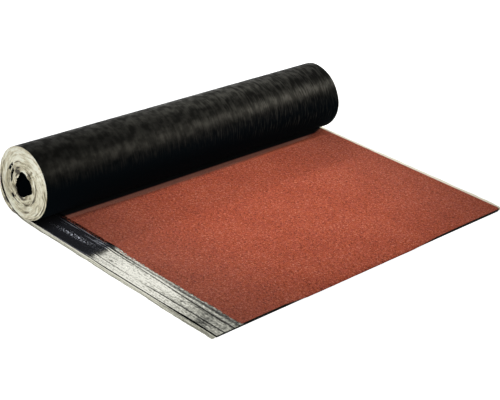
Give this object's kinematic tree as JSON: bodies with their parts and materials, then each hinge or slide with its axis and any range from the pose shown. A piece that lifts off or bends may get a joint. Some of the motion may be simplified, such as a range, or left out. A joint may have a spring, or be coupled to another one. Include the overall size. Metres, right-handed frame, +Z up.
{
  "type": "roofing felt roll",
  "caption": "Slate-surfaced bitumen roofing felt, partly rolled out: a flat sheet with a bare lap border, running under and into its hollow roll, film margins on both edges.",
  "frame": {"origin": "on the underside of the laid felt, straight below the roll's axis, at half the sheet's width", "axes": "+X along the laid felt towards its cut end, +Y along the roll's axis towards the edge with slate right up to it, +Z up"},
  "size_m": [0.7585, 1.024, 0.1869],
  "materials": {
    "bitumen": "black, satin to matt, smeared",
    "slate": "red-brown slate granules, matt",
    "lap_film": "silvery grey film, glossy",
    "underside_film": "cream film, creased, satin"
  },
  "bodies": {
    "root": {"felt_sheet": "bitumen", "slate_facing": "slate", "lap_film": "lap_film", "film_margin_near": "underside_film", "film_margin_far": "underside_film"}
  },
  "joints": []
}
